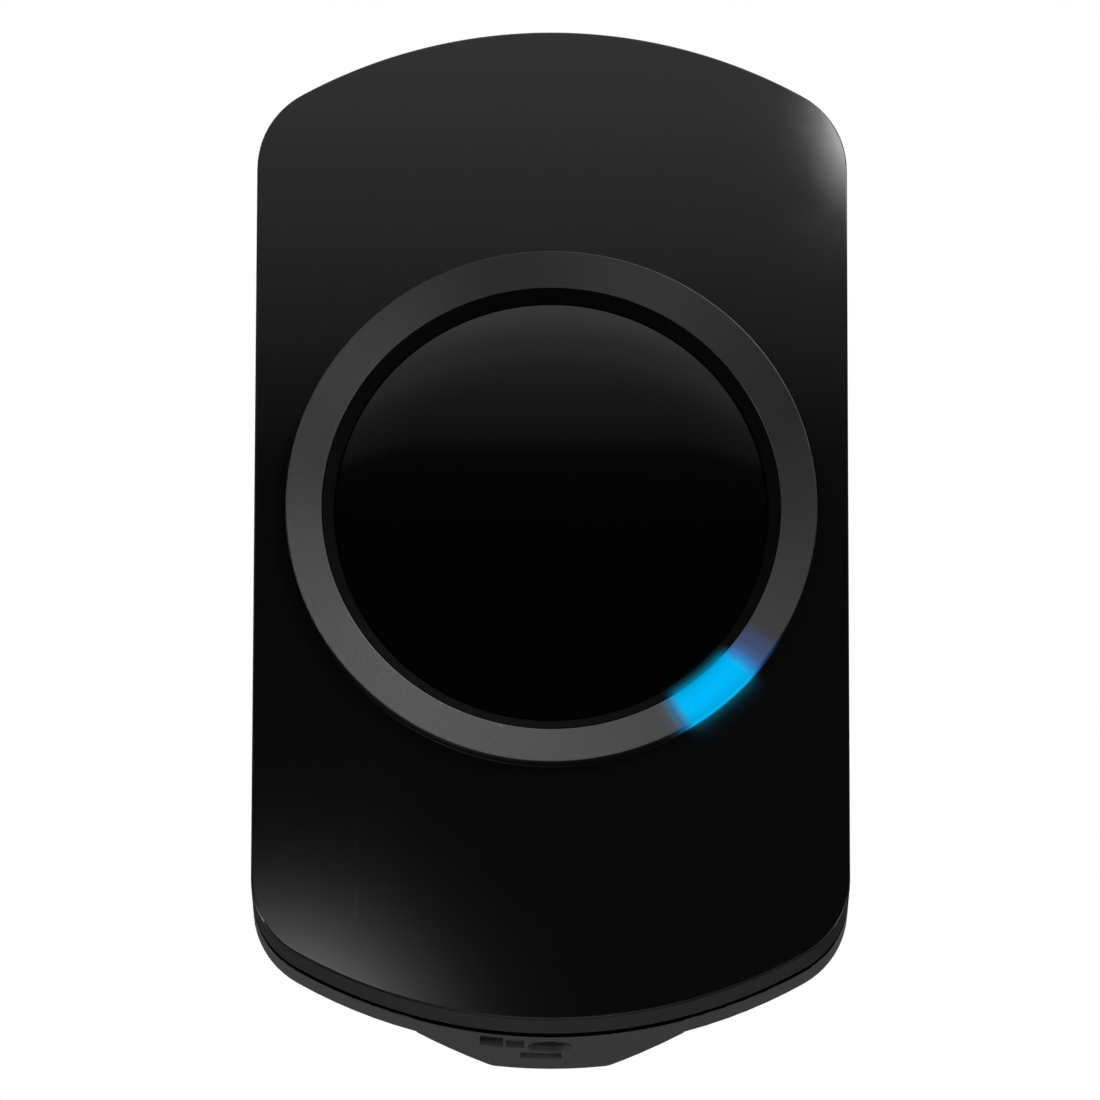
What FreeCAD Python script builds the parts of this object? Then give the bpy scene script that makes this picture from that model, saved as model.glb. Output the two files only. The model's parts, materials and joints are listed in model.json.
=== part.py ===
import FreeCAD, Part
import math
import os

# A video doorbell that hangs on a wall or a door frame.
# The wall face is the plane y = 0, the front looks along -Y, +Z is up and +X is to
# the right for someone facing the doorbell. Depths count backwards from the
# faceplate's front surface. All sizes are in millimetres.

# Outer shape
body_width = 62.0
body_height = 107.15
body_depth = 21.8          # from the faceplate's front to the wall
end_arc_radius = 53.0      # the arched top and bottom
corner_radius = 9.2

# The stack of casing parts, as depths behind the front surface
plate_skirt = 0.6          # how far the faceplate stands proud of the frame
plate_thickness = 2.0
tape_thickness = 0.2
frame_floor = 1.4
frame_end = 6.5
seal_width = 1.5
wing_end = 13.4            # the back of the housing on both sides of the spine
plate_inset = 0.05
plate_round = 0.12
frame_round = (0.1, 0.15)  # at its front and at its back
wing_round = (0.15, 0.4)   # at its front and at its back
spigot_inset = 1.6
frame_wall = 2.0
housing_wall = 1.8
seal_inset = 0.8
seal_thickness = 1.1

# Rear spine
spine_base = 13.9          # half width where it leaves the wings
spine_tip = 6.1            # half width at the wall
spine_round = 1.2
spine_floor = 1.6

# Light ring, bezel and button, which share one centre
ring_z = 1.25
button_radius = 22.55
button_gap = 0.1           # between the button and the bezel's throat
bezel_wall = 1.3           # how far the bezel's funnel reaches in from the ring
ring_band = 3.75           # the ring's visible width
ring_lip = 1.0             # how far the ring's flange reaches under the faceplate
ring_outer_proud = 1.2
ring_inner_proud = 0.35
ring_flange = 1.0
baffle_depth = 1.6
board_thickness = 0.8
led_count = 12
led_first_angle = 11.0
led_size = 2.0
led_height = 0.8
bezel_throat_depth = 1.2
bezel_end = 4.6
button_front = 0.95
button_thickness = 2.0
button_flat = 15.0         # the radius where the front starts to curve back
button_drop = 0.04
button_edge = 0.1
button_travel = 0.5
carrier_rim = 7.3          # how wide the tray's rim is under the window
carrier_lip = 0.9          # how far its flange reaches out past the window
carrier_end = 5.6
membrane_height = 1.6

# Clearances
fit_gap = 0.1
slide_gap = 0.25
thread_gap = 0.02

# Inner chassis and main board
chassis_thickness = 1.4
collar_wall = 1.5
ledge_width = 2.6          # how far the collar's ledge reaches in under the flange
main_board_front = 9.6
main_board_thickness = 1.2
board_inset = 2.4
post_radius = 1.8
post_angle = 52.5          # up and down from the side, around the ring's centre
post_clear = 2.6           # from the ring's flange out to a post's centre
board_screw_radius = 0.8
board_screw_head = 1.5
board_screw_head_height = 0.7

# Screws that close the case
case_post_radius = 2.6
case_screw_radius = 1.0
case_screw_head = 1.9
case_screw_head_height = 1.2
case_screw_offset = (1.7, 1.35)   # out from the centre of the corner's round

# Push switches under the button
switch_size = 6.0
switch_inset = 2.0         # from the tray's opening out to a switch's centre
switch_front = 6.2
plunger_radius = 1.7

# Camera
holder_size = 12.0
holder_front = 6.8
barrel_radius = 4.9
barrel_front = 4.3
lens_radius = 3.35
shroud_radius = 6.4
infrared_count = 6
infrared_inset = 4.0       # from the tray's opening in to the lamps' circle
infrared_radius = 1.5

# Speaker
speaker_width = 28.0
speaker_height = 14.5
speaker_depth = 4.8
speaker_clear = 3.1        # from the ring's flange down to the speaker
gasket_depth = 0.6

# Battery
battery_width = 14.0
battery_length = 42.0
battery_thickness = 5.0
battery_front = 12.2

# Small pieces on the main board, as (left, right, bottom, top, height), the last four
# counted from the middle of the bay above the ring
upper_bay = 14.3           # from the body's top down to the bay's middle
shield_place = (-11.0, 11.0, -7.0, 7.0, 2.2)
shield_wall = 0.3
processor_place = (-9.0, 1.0, -5.0, 5.0, 1.2)
memory_place = (3.0, 9.0, -4.0, 4.0, 1.0)
inductor_size = 6.0
inductor_height = 2.4
inductor_clear = 4.0       # from the speaker's side out to the inductor
capacitor_radius = 1.9
capacitor_room = 0.3       # left between a capacitor and the chassis
capacitor_pitch = 4.6
capacitor_inset = 13.0     # in from the body's side
antenna_width = 32.0
antenna_thickness = 0.3
microphone_size = 3.0
microphone_height = 1.1
microphone_shift = 2.5     # from the sound slot out to the microphone
microphone_lift = 1.2      # from the housing's inside up to the microphone
connector_place = (-3.0, 3.0, -27.0, -23.0, 2.2)
terminal_width = 10.4
terminal_size = (7.0, 6.0)   # along Z, and its height above the board
terminal_pitch = 5.2

# Wall bracket and its screws
bracket_width = 9.0
bracket_thickness = 1.5
bracket_drop = 19.3        # from the body's top down to the bracket's top
wall_screw_spacing = 60.0
wall_screw_hole = 2.1
wall_screw_room = 4.2      # radius of the room for a screw's head
wall_screw_head_depth = 3.5
foot_height = 4.4          # from the housing's lowest point up to the bracket's foot
lock_depth = 12.2
lock_hole = 2.35
lock_screw_radius = 1.25
lock_head_height = 1.3

# Openings in the housing, as (left, right, shallow, deep)
sound_slot = (-7.3, -4.9, 9.2, 13.2)
index_recess = (-4.6, -2.7, 9.5, 13.0)
drain_slot = (-3.1, 1.2, 14.9, 17.3)
terminal_window = (8.8, 9.0)
terminal_drop = 11.3       # from the body's top down to the terminals

# Places that follow from the sizes above
plate_bottom = plate_thickness + tape_thickness
floor_end = plate_bottom + frame_floor
housing_start = frame_end + seal_width
wing_inner = wing_end - housing_wall
bezel_throat = button_radius + button_gap
ring_inner = bezel_throat + bezel_wall
ring_outer = ring_inner + ring_band
ring_flange_radius = ring_outer + ring_lip
carrier_opening = button_radius - carrier_rim
carrier_flange = button_radius + carrier_lip
collar_bore = carrier_flange + 0.3
collar_outer = collar_bore + collar_wall
collar_ledge = carrier_flange - ledge_width
switch_offset = carrier_opening + switch_inset
infrared_circle = carrier_opening - infrared_inset
ring_end = plate_thickness + ring_flange
ring_step_depth = 1.0
baffle_end = ring_end + baffle_depth
chassis_front = baffle_end + board_thickness
chassis_back = chassis_front + chassis_thickness
ledge_front = carrier_end + membrane_height
main_board_back = main_board_front + main_board_thickness
button_back = button_front + button_thickness
led_circle = (ring_inner + ring_flange_radius) / 2
channel_floor = body_depth - bracket_thickness
spine_inner_end = channel_floor - spine_floor
half_height = body_height / 2
corner_x = body_width / 2 - corner_radius
corner_z = half_height - end_arc_radius + math.sqrt((end_arc_radius - corner_radius) ** 2 - corner_x ** 2)
case_screw_x = corner_x + case_screw_offset[0]
case_screw_z = corner_z + case_screw_offset[1]
foot_bottom = -half_height + foot_height
bracket_top = half_height - bracket_drop
terminal_z = half_height - terminal_drop
bay_z = half_height - upper_bay
speaker_top = ring_z - ring_flange_radius - speaker_clear
speaker_middle = speaker_top - speaker_height / 2


def y_at(depth):
    """The y of a depth behind the faceplate's front surface."""
    return depth - body_depth


def point(x, depth, z):
    return FreeCAD.Vector(x, y_at(depth), z)


def outline(inset, depth):
    """The body's outline, pulled in by the inset, as a face at the depth."""
    side = body_width / 2 - inset
    top = half_height - inset
    arc = end_arc_radius - inset
    corner = corner_radius - inset
    arc_z = top - arc
    corner_x = side - corner
    corner_rise = math.sqrt((arc - corner) ** 2 - corner_x ** 2)
    corner_z = arc_z + corner_rise
    reach = arc / (arc - corner)
    join_x = corner_x * reach
    join_z = arc_z + corner_rise * reach
    half_turn = math.atan2(corner_rise, corner_x) / 2
    bend_x = corner_x + corner * math.cos(half_turn)
    bend_z = corner_z + corner * math.sin(half_turn)
    half_rise = (math.atan2(corner_rise, corner_x) + math.pi / 2) / 2
    rise_x = arc * math.cos(half_rise)
    rise_z = arc_z + arc * math.sin(half_rise)

    def spot(x, z):
        return point(x, depth, z)

    edges = [
        Part.LineSegment(spot(side, -corner_z), spot(side, corner_z)),
        Part.Arc(spot(side, corner_z), spot(bend_x, bend_z), spot(join_x, join_z)),
        Part.Arc(spot(join_x, join_z), spot(rise_x, rise_z), spot(0, top)),
        Part.Arc(spot(0, top), spot(-rise_x, rise_z), spot(-join_x, join_z)),
        Part.Arc(spot(-join_x, join_z), spot(-bend_x, bend_z), spot(-side, corner_z)),
        Part.LineSegment(spot(-side, corner_z), spot(-side, -corner_z)),
        Part.Arc(spot(-side, -corner_z), spot(-bend_x, -bend_z), spot(-join_x, -join_z)),
        Part.Arc(spot(-join_x, -join_z), spot(-rise_x, -rise_z), spot(0, -top)),
        Part.Arc(spot(0, -top), spot(rise_x, -rise_z), spot(join_x, -join_z)),
        Part.Arc(spot(join_x, -join_z), spot(bend_x, -bend_z), spot(side, -corner_z)),
    ]
    return Part.Face(Part.Wire([edge.toShape() for edge in edges]))


def slab(inset, front, back):
    """A plate with the body's outline, between two depths."""
    return outline(inset, front).extrude(FreeCAD.Vector(0, back - front, 0))


def disc(radius, front, back, x=0.0, z=ring_z):
    """A round plate or pin that lies along Y."""
    return Part.makeCylinder(radius, back - front, point(x, front, z), FreeCAD.Vector(0, 1, 0))


def tube(outer, inner, front, back, x=0.0, z=ring_z):
    return disc(outer, front, back, x, z).cut(disc(inner, front, back, x, z))


def block(left, right, front, back, bottom, top):
    size = (right - left, back - front, top - bottom)
    return Part.makeBox(*size, point(left, front, bottom))


def rounded_block(left, right, front, back, bottom, top, radius):
    """A block whose four edges along Y are rounded."""
    solid = block(left, right, front, back, bottom, top)
    edges = [edge for edge in solid.Edges if abs(edge.tangentAt(edge.FirstParameter).y) > 0.9]
    return solid.makeFillet(radius, edges)


def turned(profile, x=0.0, z=ring_z):
    """A solid of revolution about Y, from a closed profile of (radius, depth) points.
    A triple of points in place of one point is an arc through them."""
    edges = []
    first = None
    last = None
    for item in profile:
        spots = item if isinstance(item[0], tuple) else (item,)
        spots = [point(x + radius, depth, z) for radius, depth in spots]
        if first is None:
            first = spots[0]
        elif last.distanceToPoint(spots[0]) > 1e-6:
            edges.append(Part.LineSegment(last, spots[0]).toShape())
        if len(spots) == 3:
            edges.append(Part.Arc(*spots).toShape())
        last = spots[-1]
    edges.append(Part.LineSegment(last, first).toShape())
    face = Part.Face(Part.Wire(edges))
    return face.revolve(point(x, 0, z), FreeCAD.Vector(0, 1, 0), 360)


def edges_at(solid, depth):
    """The edges of a solid that lie in the plane at a depth."""
    level = y_at(depth)
    return [
        edge for edge in solid.Edges
        if abs(edge.BoundBox.YMin - level) < 1e-4 and abs(edge.BoundBox.YMax - level) < 1e-4
    ]


def on_circle(count, radius, first_angle=0.0):
    """Places around the ring's centre, as (x, z, angle in degrees)."""
    places = []
    for index in range(count):
        angle = first_angle + 360.0 * index / count
        turn = math.radians(angle)
        places.append((radius * math.cos(turn), ring_z + radius * math.sin(turn), angle))
    return places


def case_screw_places():
    return [(x, z) for x in (-case_screw_x, case_screw_x) for z in (-case_screw_z, case_screw_z)]


def post_places():
    """The posts that carry the main board, around the ring."""
    reach = ring_flange_radius + post_clear
    across = reach * math.cos(math.radians(post_angle))
    rise = reach * math.sin(math.radians(post_angle))
    return [(x, ring_z + z) for x in (-across, across) for z in (-rise, rise)]


def spine(base, tip, front, bend, back, rounding):
    """The rear spine: a wedge along the whole height, before its ends are trimmed."""
    corners = [(-base, front), (-base, bend), (-tip, back), (tip, back), (base, bend), (base, front)]
    tall = 2 * body_height
    spots = [point(x, depth, -body_height) for x, depth in corners]
    face = Part.Face(Part.makePolygon(spots + spots[:1]))
    solid = face.extrude(FreeCAD.Vector(0, 0, tall))
    if rounding:
        edges = [
            edge for edge in edges_at(solid, back)
            if edge.BoundBox.ZLength > body_height
        ]
        solid = solid.makeFillet(rounding, edges)
    return solid


def lowest_at(x, inset=0.0):
    """The z of the outline's lower arc at an x."""
    arc = end_arc_radius - inset
    return -(half_height - end_arc_radius) - math.sqrt(arc ** 2 - x ** 2)


# Front

def faceplate():
    plate = slab(plate_inset, 0, plate_skirt)
    plate = plate.makeFillet(plate_round, edges_at(plate, 0))
    plate = plate.fuse(slab(spigot_inset, plate_skirt, plate_thickness))
    return plate.cut(disc(ring_outer + fit_gap, 0, plate_thickness)).removeSplitter()


def faceplate_tape():
    tape = slab(spigot_inset + 0.8, plate_thickness, plate_bottom)
    return tape.cut(disc(ring_flange_radius + 0.9, plate_thickness, plate_bottom))


def light_ring():
    step = ring_inner + 0.6
    return turned([
        (ring_outer - 0.2, -ring_outer_proud),
        (ring_outer, 0.2 - ring_outer_proud),
        (ring_outer, plate_thickness),
        (ring_flange_radius, plate_thickness),
        (ring_flange_radius, ring_end),
        (step, ring_end),
        (step, ring_step_depth),
        (ring_inner, ring_step_depth),
        (ring_inner, -ring_inner_proud),
    ])


def light_baffle():
    ring = tube(ring_flange_radius, ring_inner + 0.6, ring_end, baffle_end)
    window = led_size * math.sqrt(0.5) + 0.2
    for x, z, angle in on_circle(led_count, led_circle, led_first_angle):
        ring = ring.cut(disc(window, ring_end, baffle_end, x, z))
    return ring


def ring_led_board():
    return tube(ring_flange_radius, ring_inner + 0.6, baffle_end, chassis_front)


def ring_leds():
    leds = []
    half = led_size / 2
    for x, z, angle in on_circle(led_count, led_circle, led_first_angle):
        led = block(x - half, x + half, baffle_end - led_height, baffle_end, z - half, z + half)
        led.rotate(point(x, 0, z), FreeCAD.Vector(0, -1, 0), angle)
        leds.append(led)
    return Part.makeCompound(leds)


def button_bezel():
    outer = ring_inner - fit_gap
    shoulder = ring_inner + 0.6 - fit_gap
    skirt = carrier_flange + slide_gap
    return turned([
        (outer, fit_gap - ring_inner_proud),
        (outer, ring_step_depth + 0.05),
        (shoulder, ring_step_depth + 0.05),
        (shoulder, chassis_front),
        (skirt, chassis_front),
        (skirt, bezel_end),
        (bezel_throat, bezel_end),
        (bezel_throat, bezel_throat_depth),
    ])


# Button

def button_disc():
    rim = button_radius - button_edge
    middle = (button_flat + rim) / 2
    bend = ((rim - button_flat) ** 2 + button_drop ** 2) / (2 * button_drop)
    sag = bend - math.sqrt(bend ** 2 - (middle - button_flat) ** 2)
    arc = (
        (button_flat, button_front),
        (middle, button_front + sag),
        (rim, button_front + button_drop),
    )
    return turned([
        (0, button_front),
        arc,
        (button_radius, button_front + button_drop + button_edge),
        (button_radius, button_back),
        (0, button_back),
    ])


def button_carrier():
    wall = button_radius - 0.4
    return turned([
        (carrier_opening, button_back),
        (wall, button_back),
        (wall, bezel_end + 0.05),
        (carrier_flange, bezel_end + 0.05),
        (carrier_flange, carrier_end),
        (carrier_opening, carrier_end),
    ])


def button_membrane():
    inner = collar_ledge + 0.4
    outer = carrier_flange + 0.1
    return turned([
        (inner, carrier_end),
        (inner + 1.4, carrier_end),
        (outer, ledge_front - 0.5),
        (outer, ledge_front),
        (inner + 1.0, ledge_front),
        (inner, carrier_end + 0.5),
    ])


def switch_bodies():
    half = switch_size / 2
    bore_end = carrier_end + 2.0 + button_travel
    bodies = []
    for x in (-switch_offset, switch_offset):
        body = block(x - half, x + half, switch_front, main_board_front, ring_z - half, ring_z + half)
        bodies.append(body.cut(disc(plunger_radius + 0.05, switch_front, bore_end, x)))
    return Part.makeCompound(bodies)


def switch_plungers():
    ends = (carrier_end, carrier_end + 1.8)
    return Part.makeCompound([disc(plunger_radius, *ends, x) for x in (-switch_offset, switch_offset)])


# Camera

def camera_holder():
    half = holder_size / 2
    seat = barrel_radius - 1.4
    body = rounded_block(-half, half, holder_front, main_board_front, ring_z - half, ring_z + half, 0.8)
    body = body.cut(disc(seat, holder_front, main_board_front))
    room = block(-3.6, 3.6, main_board_front - 1.4, main_board_front, ring_z - 3.6, ring_z + 3.6)
    return body.cut(room)


def camera_barrel():
    thread = barrel_radius - 1.45
    seat_end = barrel_front + 1.3
    seat = lens_radius + 0.05
    return turned([
        (barrel_radius - 0.3, barrel_front),
        (barrel_radius, barrel_front + 0.3),
        (barrel_radius, holder_front - 0.4),
        (thread, holder_front - 0.4),
        (thread, main_board_front - 1.6),
        (lens_radius - 1.4, main_board_front - 1.6),
        (lens_radius - 1.4, seat_end),
        (seat, seat_end),
        (seat, barrel_front + 0.6),
        (barrel_radius - 0.6, barrel_front),
    ])


def camera_lens():
    crown = barrel_front + 0.1
    rim = barrel_front + 0.6
    seat_end = barrel_front + 1.3
    bend = (lens_radius ** 2 + (rim - crown) ** 2) / (2 * (rim - crown))
    half = lens_radius / 2
    sag = bend - math.sqrt(bend ** 2 - half ** 2)
    return turned([
        ((0, crown), (half, crown + sag), (lens_radius, rim)),
        (lens_radius, seat_end),
        (0, seat_end),
    ])


def camera_shroud():
    return tube(shroud_radius, barrel_radius + 0.05, barrel_front + 0.3, holder_front)


def image_sensor():
    return block(-2.8, 2.8, main_board_front - 0.8, main_board_front, ring_z - 2.8, ring_z + 2.8)


def infrared_leds():
    dome = barrel_front + 0.4 + infrared_radius
    leds = []
    for x, z, angle in on_circle(infrared_count, infrared_circle, 30.0):
        body = disc(infrared_radius, dome, main_board_front, x, z)
        leds.append(body.fuse(Part.makeSphere(infrared_radius, point(x, dome, z))).removeSplitter())
    return Part.makeCompound(leds)


# Inner chassis and main board

def inner_chassis():
    plate = slab(frame_wall + 0.2, chassis_front, chassis_back)
    ledge_back = ledge_front + 1.0
    plate = plate.fuse(disc(collar_outer, chassis_front, ledge_back))
    plate = plate.cut(disc(collar_bore, chassis_front, ledge_front))
    plate = plate.cut(disc(collar_ledge, chassis_front, ledge_back))
    for x, z in post_places():
        plate = plate.fuse(disc(post_radius, chassis_back, main_board_front, x, z))
        plate = plate.cut(disc(board_screw_radius + thread_gap, chassis_back, main_board_front, x, z))
    for x, z in case_screw_places():
        plate = plate.cut(disc(case_screw_radius + fit_gap, chassis_front, chassis_back, x, z))
    half = speaker_width / 2 + slide_gap
    low = speaker_top - speaker_height - slide_gap
    high = speaker_top + slide_gap
    window = rounded_block(-half, half, chassis_front, chassis_back, low, high, 3.0)
    plate = plate.cut(window)
    cable_z = ring_z - led_circle
    plate = plate.cut(block(-3.4, 3.4, chassis_front, chassis_back, cable_z - 0.5, cable_z + 0.5))
    return plate.removeSplitter()


def ring_board_cable():
    cable_z = ring_z - led_circle
    return block(-3.0, 3.0, chassis_front, main_board_front, cable_z - 0.15, cable_z + 0.15)


def main_board():
    board = slab(board_inset, main_board_front, main_board_back)
    for x, z in post_places():
        board = board.cut(disc(board_screw_radius + fit_gap, main_board_front, main_board_back, x, z))
    for x, z in case_screw_places():
        board = board.cut(disc(case_post_radius + slide_gap, main_board_front, main_board_back, x, z))
    foot = bracket_width / 2 + 1.4 + 0.4
    board = board.cut(block(-foot, foot, main_board_front, main_board_back, -body_height, foot_bottom + 4.4))
    low = speaker_middle - 3.5
    high = speaker_middle + 3.5
    return board.cut(rounded_block(-11, 11, main_board_front, main_board_back, low, high, 2.0))


def board_screws():
    screws = []
    for x, z in post_places():
        head = disc(board_screw_head, main_board_back, main_board_back + board_screw_head_height, x, z)
        shank = disc(board_screw_radius, chassis_back + 0.4, main_board_back, x, z)
        screws.append(head.fuse(shank))
    return Part.makeCompound(screws)


def on_board(place, shrink=0.0):
    """A block on the front of the main board, from its place in the bay above the ring."""
    left, right, bottom, top, height = place
    front = main_board_front - height
    low = bay_z + bottom + shrink
    high = bay_z + top - shrink
    return (left + shrink, right - shrink, front, main_board_front, low, high)


def processor_shield():
    can = rounded_block(*on_board(shield_place), 0.8)
    left, right, front, back, bottom, top = on_board(shield_place, shield_wall)
    return can.cut(block(left, right, front + shield_wall, back, bottom, top))


def processor_chip():
    return block(*on_board(processor_place))


def memory_chip():
    return block(*on_board(memory_place))


def power_inductor():
    left = -(speaker_width / 2 + inductor_clear + inductor_size)
    bottom = speaker_middle + 1.75
    return rounded_block(
        left, left + inductor_size, main_board_front - inductor_height, main_board_front,
        bottom, bottom + inductor_size, 1.0,
    )


def capacitors():
    x = body_width / 2 - capacitor_inset
    front = chassis_back + capacitor_room
    places = [speaker_middle + shift for shift in (-capacitor_pitch, 0.0, capacitor_pitch)]
    return Part.makeCompound([disc(capacitor_radius, front, main_board_front, x, z) for z in places])


def wifi_antenna():
    strip = slab(housing_wall, housing_start + 0.1, wing_inner)
    strip = strip.cut(slab(housing_wall + antenna_thickness, housing_start + 0.1, wing_inner))
    half = antenna_width / 2
    return strip.common(block(-half, half, 0, body_depth, 0, body_height))


# Sound

def speaker():
    half = speaker_width / 2
    front = floor_end + gasket_depth
    back = front + speaker_depth
    bottom = speaker_top - speaker_height
    body = rounded_block(-half, half, front, back, bottom, speaker_top, 3.0)
    low = bottom + 1.5
    high = speaker_top - 1.5
    return body.cut(rounded_block(1.5 - half, half - 1.5, back - 1.2, back, low, high, 2.5))


def speaker_cone():
    half = speaker_width / 2 - 1.6
    back = floor_end + gasket_depth + speaker_depth - 0.9
    low = speaker_top - speaker_height + 1.6
    high = speaker_top - 1.6
    sheet = rounded_block(-half, half, back - 0.3, back, low, high, 2.4)
    return sheet.fuse(rounded_block(-7, 7, back, back + 0.5, low + 2.5, high - 2.5, 2.4)).removeSplitter()


def speaker_gasket():
    half = speaker_width / 2
    front = floor_end
    back = floor_end + gasket_depth
    bottom = speaker_top - speaker_height
    ring = rounded_block(-half, half, front, back, bottom, speaker_top, 3.0)
    return ring.cut(rounded_block(1.6 - half, half - 1.6, front, back, bottom + 1.6, speaker_top - 1.6, 2.0))


def microphone_place():
    """The microphone's left side and its bottom."""
    left = sound_slot[0] - microphone_shift
    return left, lowest_at(left, housing_wall) + microphone_lift


def microphone():
    left, bottom = microphone_place()
    right = left + microphone_size
    back = main_board_back + microphone_height
    return block(left, right, main_board_back, back, bottom, bottom + microphone_size)


def microphone_seal():
    left, top = microphone_place()
    left = left + 0.2
    right = left + microphone_size - 0.4
    bottom = lowest_at(left, housing_wall) + 0.05
    return block(left, right, main_board_back, main_board_back + microphone_height + 0.5, bottom, top)


def sound_mesh():
    left, right, shallow, deep = sound_slot
    top = lowest_at(right) + 1.2
    return block(left, right, shallow, deep, top - 0.4, top)


# Power

def backup_battery():
    half = battery_width / 2
    back = battery_front + battery_thickness
    end = battery_length / 2
    return rounded_block(-half, half, battery_front, back, -end, end, 1.5)


def battery_pad():
    front = battery_front + battery_thickness
    return block(-5.4, 5.4, front, spine_inner_end, 2 - battery_length / 2, battery_length / 2 - 2)


def battery_connector():
    left, right, bottom, top, height = connector_place
    return block(left, right, main_board_back, main_board_back + height, bottom, top)


def terminal_block():
    half = terminal_width / 2
    tall, height = terminal_size
    back = main_board_back + height
    body = block(-half, half, main_board_back, back, terminal_z - tall / 2, terminal_z + tall / 2)
    for x in (-terminal_pitch / 2, terminal_pitch / 2):
        body = body.cut(disc(1.75, back - 2.6, back, x, terminal_z))
        wire_way = block(x - 1.3, x + 1.3, back - 5.2, back - 3.0, terminal_z + 1.0, terminal_z + tall / 2)
        body = body.cut(wire_way)
    return body


def terminal_screws():
    back = main_board_back + terminal_size[1] - 0.2
    screws = []
    for x in (-terminal_pitch / 2, terminal_pitch / 2):
        screw = disc(1.7, back - 1.4, back, x, terminal_z)
        screw = screw.fuse(disc(1.0, back - 2.4, back - 1.4, x, terminal_z))
        slot = block(x - 2, x + 2, back - 0.6, back, terminal_z - 0.25, terminal_z + 0.25)
        screws.append(screw.cut(slot))
    return Part.makeCompound(screws)


# Case

def mid_frame():
    frame = slab(0, plate_skirt, frame_end)
    frame = frame.makeFillet(frame_round[1], edges_at(frame, frame_end))
    frame = frame.makeFillet(frame_round[0], edges_at(frame, plate_skirt))
    frame = frame.cut(slab(spigot_inset - fit_gap, plate_skirt, plate_bottom))
    frame = frame.cut(slab(frame_wall, floor_end, frame_end))
    frame = frame.cut(disc(ring_flange_radius + 0.2, plate_bottom, floor_end))
    for x, z in case_screw_places():
        frame = frame.fuse(disc(case_post_radius, floor_end, chassis_front, x, z))
        frame = frame.cut(disc(case_screw_radius + thread_gap, plate_bottom + 0.6, chassis_front, x, z))
    return frame.removeSplitter()


def housing_seal():
    seal = slab(seal_inset, frame_end, housing_start)
    return seal.cut(slab(seal_inset + seal_thickness, frame_end, housing_start))


def housing_shell():
    """The rear housing's outer shape and its hollow, without inner features."""
    wings = slab(0, housing_start, wing_end)
    wings = wings.makeFillet(wing_round[1], edges_at(wings, wing_end))
    wings = wings.makeFillet(wing_round[0], edges_at(wings, housing_start))
    wedge = spine(spine_base, spine_tip, housing_start, wing_end, body_depth, spine_round)
    outer = wings.fuse(wedge.common(slab(0, housing_start, body_depth)))

    slope = (spine_base - spine_tip) / (body_depth - wing_end)
    wall = housing_wall * math.hypot(1, slope)
    base = spine_base - wall + slope * housing_wall
    tip = spine_tip - wall + slope * (body_depth - spine_inner_end)
    hollow = spine(base, tip, housing_start, wing_inner, spine_inner_end, 0)
    hollow = hollow.common(slab(housing_wall, housing_start, spine_inner_end))
    hollow = hollow.fuse(slab(housing_wall, housing_start, wing_inner))
    return outer, hollow


def rear_housing():
    outer, hollow = housing_shell()
    body = outer.cut(hollow)

    # Posts for the case screws, the rooms for the wall screws' heads and the lock's pocket.
    for x, z in case_screw_places():
        body = body.fuse(disc(case_post_radius, chassis_back, wing_inner, x, z))
    room_front = channel_floor - wall_screw_head_depth
    for z in (-wall_screw_spacing / 2, wall_screw_spacing / 2):
        body = body.fuse(disc(wall_screw_room + 1.2, room_front - 1.2, spine_inner_end, 0, z))
    pocket = bracket_width / 2 + 0.3
    pocket_front = lock_depth - 2.8
    pocket_top = foot_bottom + 2.9
    wall = pocket + 1.1
    chamber = block(-wall, wall, pocket_front - 0.6, channel_floor, -body_height, pocket_top + 0.8)
    body = body.fuse(chamber.common(outer))

    for x, z in case_screw_places():
        body = body.cut(disc(case_screw_radius + fit_gap, chassis_back, wing_end, x, z))
        recess = wing_end - case_screw_head_height - 0.2
        body = body.cut(disc(case_screw_head + 0.2, recess, wing_end, x, z))
    for z in (-wall_screw_spacing / 2, wall_screw_spacing / 2):
        body = body.cut(disc(wall_screw_room, room_front, channel_floor, 0, z))
    channel = bracket_width / 2 + fit_gap
    low = foot_bottom - 0.6
    body = body.cut(block(-channel, channel, channel_floor, body_depth, low, bracket_top + fit_gap))
    body = body.cut(block(-pocket, pocket, pocket_front, body_depth, low, pocket_top))

    # The underside: the lock screw's hole, the sound slot, the drain and a shallow mark.
    body = body.cut(upright_pin(lock_hole, -body_height, lock_seat(), lock_depth))
    body = body.cut(upright_pin(lock_screw_radius + 0.15, lock_seat(), foot_bottom, lock_depth))
    left, right, shallow, deep = sound_slot
    body = body.cut(block(left, right, shallow, deep, -body_height, lowest_at(right) + housing_wall + 0.3))
    left, right, shallow, deep = drain_slot
    body = body.cut(block(left, right, shallow, deep, -body_height, foot_bottom))
    left, right, shallow, deep = index_recess
    body = body.cut(block(left, right, shallow, deep, -body_height, lowest_at(right) + 0.6))

    # The window to the terminals.
    wide, high = terminal_window
    low = terminal_z - high / 2
    body = body.cut(block(-wide / 2, wide / 2, spine_inner_end - 1, body_depth, low, low + high))
    return body.removeSplitter()


def case_screws():
    head_back = wing_end - 0.2
    head_front = head_back - case_screw_head_height
    screws = []
    for x, z in case_screw_places():
        screw = disc(case_screw_head, head_front, head_back, x, z)
        screw = screw.fuse(disc(case_screw_radius, plate_bottom + 0.8, head_front, x, z))
        slot = block(x - 1.3, x + 1.3, head_back - 0.6, head_back, z - 0.25, z + 0.25)
        cross = block(x - 0.25, x + 0.25, head_back - 0.6, head_back, z - 1.3, z + 1.3)
        screws.append(screw.cut(slot).cut(cross))
    return Part.makeCompound(screws)


# Wall fixing

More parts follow.
